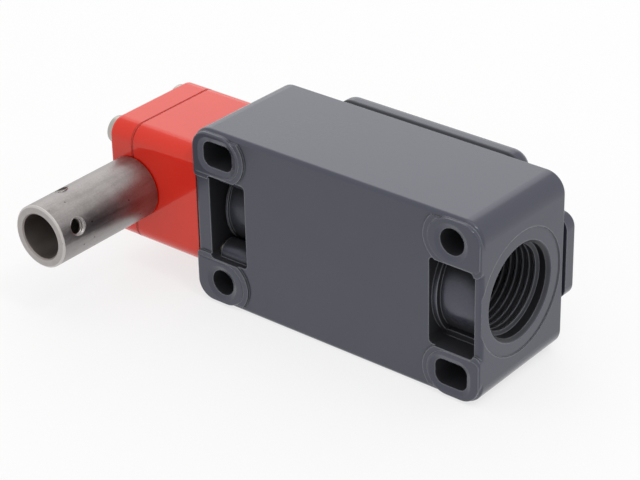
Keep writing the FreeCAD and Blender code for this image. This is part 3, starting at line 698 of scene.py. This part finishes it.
def spin(bm, profile):
    """Spins (height, radius) points round Z, where a radius of zero is a point on the axis."""
    rings = []
    for height, radius in profile:
        count = blank_segments if radius else 1
        angles = [2 * math.pi * i / count for i in range(count)]
        rings.append([bm.verts.new((radius * math.cos(a), radius * math.sin(a), height)) for a in angles])
    for lower, upper in zip(rings, rings[1:]):
        for i in range(blank_segments):
            near_low, far_low = lower[i % len(lower)], lower[(i + 1) % len(lower)]
            near_up, far_up = upper[i % len(upper)], upper[(i + 1) % len(upper)]
            bm.faces.new(list(dict.fromkeys((near_low, far_low, far_up, near_up))))


def blank_profile(screw, core_r, length):
    """Half the outline of a screw's blank, as (height, radius) from its tip to the top of its head."""
    seat = length - screw.head
    edge = edge_share * screw.head
    return [
        (0, 0),
        (0, core_r - tip_break),
        (tip_break, core_r),
        (screw.grip, core_r),
        (screw.grip + screw.pitch / 2, screw.shank_r),
        (seat, screw.shank_r),
        (seat, screw.head_r),
        (length - edge, screw.head_r),
        (length - edge_drop * edge, screw.head_r - edge_inset * edge),
        (length, screw.head_r - edge),
        (length, 0),
    ]


print("blanks are spun in", blank_segments, "steps")

# %% [markdown]
# The driver's recess could be modelled face by face, but a Boolean cut with two crossed wedges is how the
# punch makes it, and it leaves clean faces. A wedge starts a little above the head, so that no face of it
# lies in a face of the blank, and it narrows downwards, more along its length than across.

# %% A cross recess
square = ((-1, -1), (1, -1), (1, 1), (-1, 1))
recess_reach, recess_width, recess_depth = 0.62, 0.15, 0.62
wedge_rise = 0.2 * MM
wedge_top, wedge_bottom = 1.04, 0.55
width_kept = 0.6


def wedge(bm, screw, top):
    """One bar of a cross recess in a head whose top lies at this height."""
    verts = []
    foot = top - recess_depth * screw.head
    for height, share in ((top + wedge_rise, wedge_top), (foot, wedge_bottom)):
        reach = recess_reach * screw.head_r * share
        width = recess_width * screw.head_r * (width_kept + (1 - width_kept) * share)
        verts += [bm.verts.new((x * reach, y * width, height)) for x, y in square]
    bm.faces.new(verts[3::-1])
    bm.faces.new(verts[4:])
    for i in range(4):
        j = (i + 1) % 4
        bm.faces.new((verts[i], verts[j], verts[4 + j], verts[4 + i]))


def cut_mesh(blank, cutters):
    """The blank's mesh with every cutter taken away from it."""
    for cutter in cutters:
        modifier = blank.modifiers.new(cutter.name, "BOOLEAN")
        modifier.operation = "DIFFERENCE"
        modifier.solver = "EXACT"
        modifier.object = cutter
    bpy.context.view_layer.update()
    seen = blank.evaluated_get(bpy.context.evaluated_depsgraph_get())
    mesh = bpy.data.meshes.new_from_object(seen)
    for item in [blank] + cutters:
        bpy.data.objects.remove(item)
    return mesh


print("a recess reaches over", recess_reach, "of the head's radius")

# %% [markdown]
# A whole screw is the cut blank with a thread climbing round its core. The thread ends half a turn short of
# where the core widens to the shank, as it does where a die runs out.

# %% A whole screw
core_share = 0.6
plain_turns = 0.5
screw_steps = 24


def screw_mesh(screw, length):
    """A cross-recessed screw from its tip at the origin to the top of its head at +Z."""
    core_r = screw.shank_r - core_share * screw.pitch
    bm = bmesh.new()
    spin(bm, blank_profile(screw, core_r, length))
    blank = object_from(bm, "screw_blank")
    cutters = []
    for turn in (0, math.pi / 2):
        bm = bmesh.new()
        wedge(bm, screw, length)
        bm.transform(Matrix.Rotation(turn, 4, "Z"))
        cutters.append(object_from(bm, "recess_cutter"))
    mesh = cut_mesh(blank, cutters)
    bm = bmesh.new()
    bm.from_mesh(mesh)
    turns = screw.grip / screw.pitch - plain_turns
    section = thread_section(core_r, screw.shank_r, screw.pitch)
    climb(bm, section, screw.pitch, turns, screw_steps, root=core_r)
    bm.to_mesh(mesh)
    bm.free()
    return mesh


print("a screw's thread is", core_share, "of its pitch deep")

# %% [markdown]
# The screws' places could be typed in, but the solids give them: the corners of the node's box, set in by
# the radius of the head. The box gives their length too. A node that holds one screw has its four corners
# in one place, and a node that holds two has them on a diagonal. The finished screws of a node are one
# piece, which stands for that node.

# %% Screws in their places
def screw_tips(low, high, heading, axis, head_r, diagonal):
    """Where the tips of a node's screws lie, in a steady order."""
    sides = [i for i in range(3) if i != axis]
    tips = set()
    for ends in itertools.product((0, 1), repeat=2):
        if diagonal and ends[0] == ends[1]:
            continue
        tip = Vector(low if heading[axis] > 0 else high)
        for side, end in zip(sides, ends):
            tip[side] = high[side] - head_r if end else low[side] + head_r
        tips.add(tuple(round(value, 6) for value in tip))
    return sorted(tips)


def screws(node, slot, direction, screw, diagonal=False):
    """Screws that stand for a node, at the corners of its box."""
    low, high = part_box(node)
    heading = Vector(direction)
    axis = max(range(3), key=lambda i: abs(heading[i]))
    mesh = screw_mesh(screw, high[axis] - low[axis])
    bm = bmesh.new()
    for tip in screw_tips(low, high, heading, axis, screw.head_r, diagonal):
        copy = mesh.copy()
        copy.transform(stand(tip, heading))
        bm.from_mesh(copy)
        bpy.data.meshes.remove(copy)
    bpy.data.meshes.remove(mesh)
    piece = piece_from(bm, node + "_cut", "body", slot)
    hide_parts(node)


head_screw = Screw(head_r=3.1 * MM, head=1.8 * MM, shank_r=1.9 * MM, pitch=0.7 * MM, grip=10 * MM)
cover_screw = Screw(head_r=3.3 * MM, head=2.3 * MM, shank_r=1.7 * MM, pitch=0.7 * MM, grip=9 * MM)
terminal_screw = Screw(head_r=2.8 * MM, head=2.4 * MM, shank_r=1.5 * MM, pitch=0.5 * MM, grip=6 * MM)
block_screw = Screw(head_r=2.1 * MM, head=2.0 * MM, shank_r=1.4 * MM, pitch=0.5 * MM, grip=5 * MM)
earth_screw = Screw(head_r=2.9 * MM, head=2.4 * MM, shank_r=1.9 * MM, pitch=0.7 * MM, grip=3 * MM)

screws("head_screws", "bright_steel", (-1, 0, 0), head_screw)
screws("cover_screws", "bright_steel", (0, 1, 0), cover_screw)
screws("terminal_screws", "bright_steel", (0, 1, 0), terminal_screw)
screws("block_screws", "bright_steel", (0, 1, 0), block_screw, diagonal=True)
screws("earth_screw", "brass", (0, 1, 0), earth_screw)

# %% [markdown]
# The return spring is round wire, so it takes the same climbing sweep with a circle for its section. It is
# squeezed when the plunger moves, and a rigid spring would pass through the plunger's flange. The share of
# its length left at full travel is worked out, and the coil gets a mesh of its own, but it is not flattened.

# %% Return spring
coil_r = 3.3 * MM
wire_r = 0.35 * MM
wire_sides = 12
coil_turns = 5.0
coil_steps = 32
spring_low, spring_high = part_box("return_spring")
spring_length = spring_high.x - spring_low.x
axis_y = (spring_low.y + spring_high.y) / 2
coil_pitch = (spring_length - 2 * wire_r) / coil_turns
plunger_travel = next(j["range_m"][1] for j in frame["joints"] if j["name"] == "plunger_slide")

wire_angles = [2 * math.pi * i / wire_sides for i in range(wire_sides)]
wire_section = [(wire_r * math.sin(a), coil_r + wire_r * math.cos(a)) for a in wire_angles]
bm = bmesh.new()
climb(bm, wire_section, coil_pitch, coil_turns, coil_steps)
bm.transform(stand((spring_low.x + wire_r, axis_y, 0), (1, 0, 0)))
return_coil = piece_from(bm, "return_coil", "body", "bright_steel")
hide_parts("return_spring")
1 - plunger_travel / spring_length
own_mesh(return_coil)

# %% [markdown]
# The switch stands in an even, white studio. More light could make the studio white, but it would bleach
# the switch as well. So the world lights it at a plain level, and only the rays that come from the camera,
# a mirror or glass see full white. Light Path tells the rays apart.

# %% World
white = (1, 1, 1, 1)
world_strength = 0.7


def white_to_the_eye(nodes, share=1.0):
    """1 for rays from a mirror or glass, and this share for rays from the camera."""
    camera_ray = nodes.node("ShaderNodeLightPath", output="Is Camera Ray")
    glossy_ray = camera_ray.sibling("Is Glossy Ray")
    glass_ray = camera_ray.sibling("Is Transmission Ray")
    return nodes.most(share * camera_ray, glossy_ray, glass_ray)


world = bpy.data.worlds.new("studio")
bpy.context.scene.world = world
world.use_nodes = True
sky = Nodes(world.node_tree)
background = sky.tree.nodes["Background"]
sky.fill(background, {"Color": white, "Strength": world_strength})
dim = Signal(sky, background.outputs["Background"])
full = sky.node("ShaderNodeBackground", None, {"Color": white, "Strength": 1.0})
choice = sky.node("ShaderNodeMixShader", None, {0: white_to_the_eye(sky), 1: dim, 2: full})
sky.fill(sky.tree.nodes["World Output"], {"Surface": choice})
print("world lights the switch with", world_strength, "of the white that it shows")

# %% [markdown]
# The table under the switch is pale, and plain white in reflections. The camera sees only a share of that
# white, and the rest is the table in the light that falls on it, so a soft shadow stays under the switch.

# %% Table
table_white = (0.94, 0.94, 0.94, 1)
table_rough = 0.7
table_share = 0.72
table_half = 3.0

table = Finish("table_top", {"Base Color": table_white, "Roughness": table_rough})
lit = Signal(table, table.shader.outputs["BSDF"])
glow = table.node("ShaderNodeEmission")
shown = white_to_the_eye(table, table_share)
choice = table.node("ShaderNodeMixShader", None, {0: shown, 1: lit, 2: glow})
table.fill(table.tree.nodes["Material Output"], {"Surface": choice})

bm = bmesh.new()
bm.faces.new([bm.verts.new((x * table_half, y * table_half, cad_box[0].z)) for x, y in square])
table_object = object_from(bm, "table")
table_object.data.materials.append(table.material)
print("table stands at", round(cad_box[0].z, 4), "m and is", 2 * table_half, "m wide")

# %% [markdown]
# Three lamps do the rest. One broad lamp hangs above. A second stands low behind the table: seen from the
# camera it mirrors in the top of the housing and of the head, which is what turns them pale in the
# photograph. The third is small and bright, and gives the rounded edges their glints. A lamp could be given
# by its power, but what shows in a mirror is its radiance, so the power follows from that and from its size.

# %% Lamps
Lamp = namedtuple("Lamp", "place width height radiance")
lamps = {
    "lamp_above": Lamp(place=(0.05, 0.0, 0.8), width=0.8, height=0.8, radiance=0.6),
    "lamp_behind": Lamp(place=(-0.5, 0.62, 0.44), width=0.9, height=0.6, radiance=0.7),
    "lamp_glint": Lamp(place=(0.46, -0.1, 0.77), width=0.16, height=0.16, radiance=14.0),
}

for name, lamp in lamps.items():
    light = bpy.data.lights.new(name, "AREA")
    light.shape = "RECTANGLE"
    light.size = lamp.width
    light.size_y = lamp.height
    light.energy = lamp.radiance * math.pi * lamp.width * lamp.height
    holder = bpy.data.objects.new(name, light)
    bpy.context.scene.collection.objects.link(holder)
    holder.location = lamp.place
    holder.rotation_mode = "QUATERNION"
    holder.rotation_quaternion = (-Vector(lamp.place)).to_track_quat("-Z", "Y")
    print(name, "gives", round(light.energy, 2), "W")
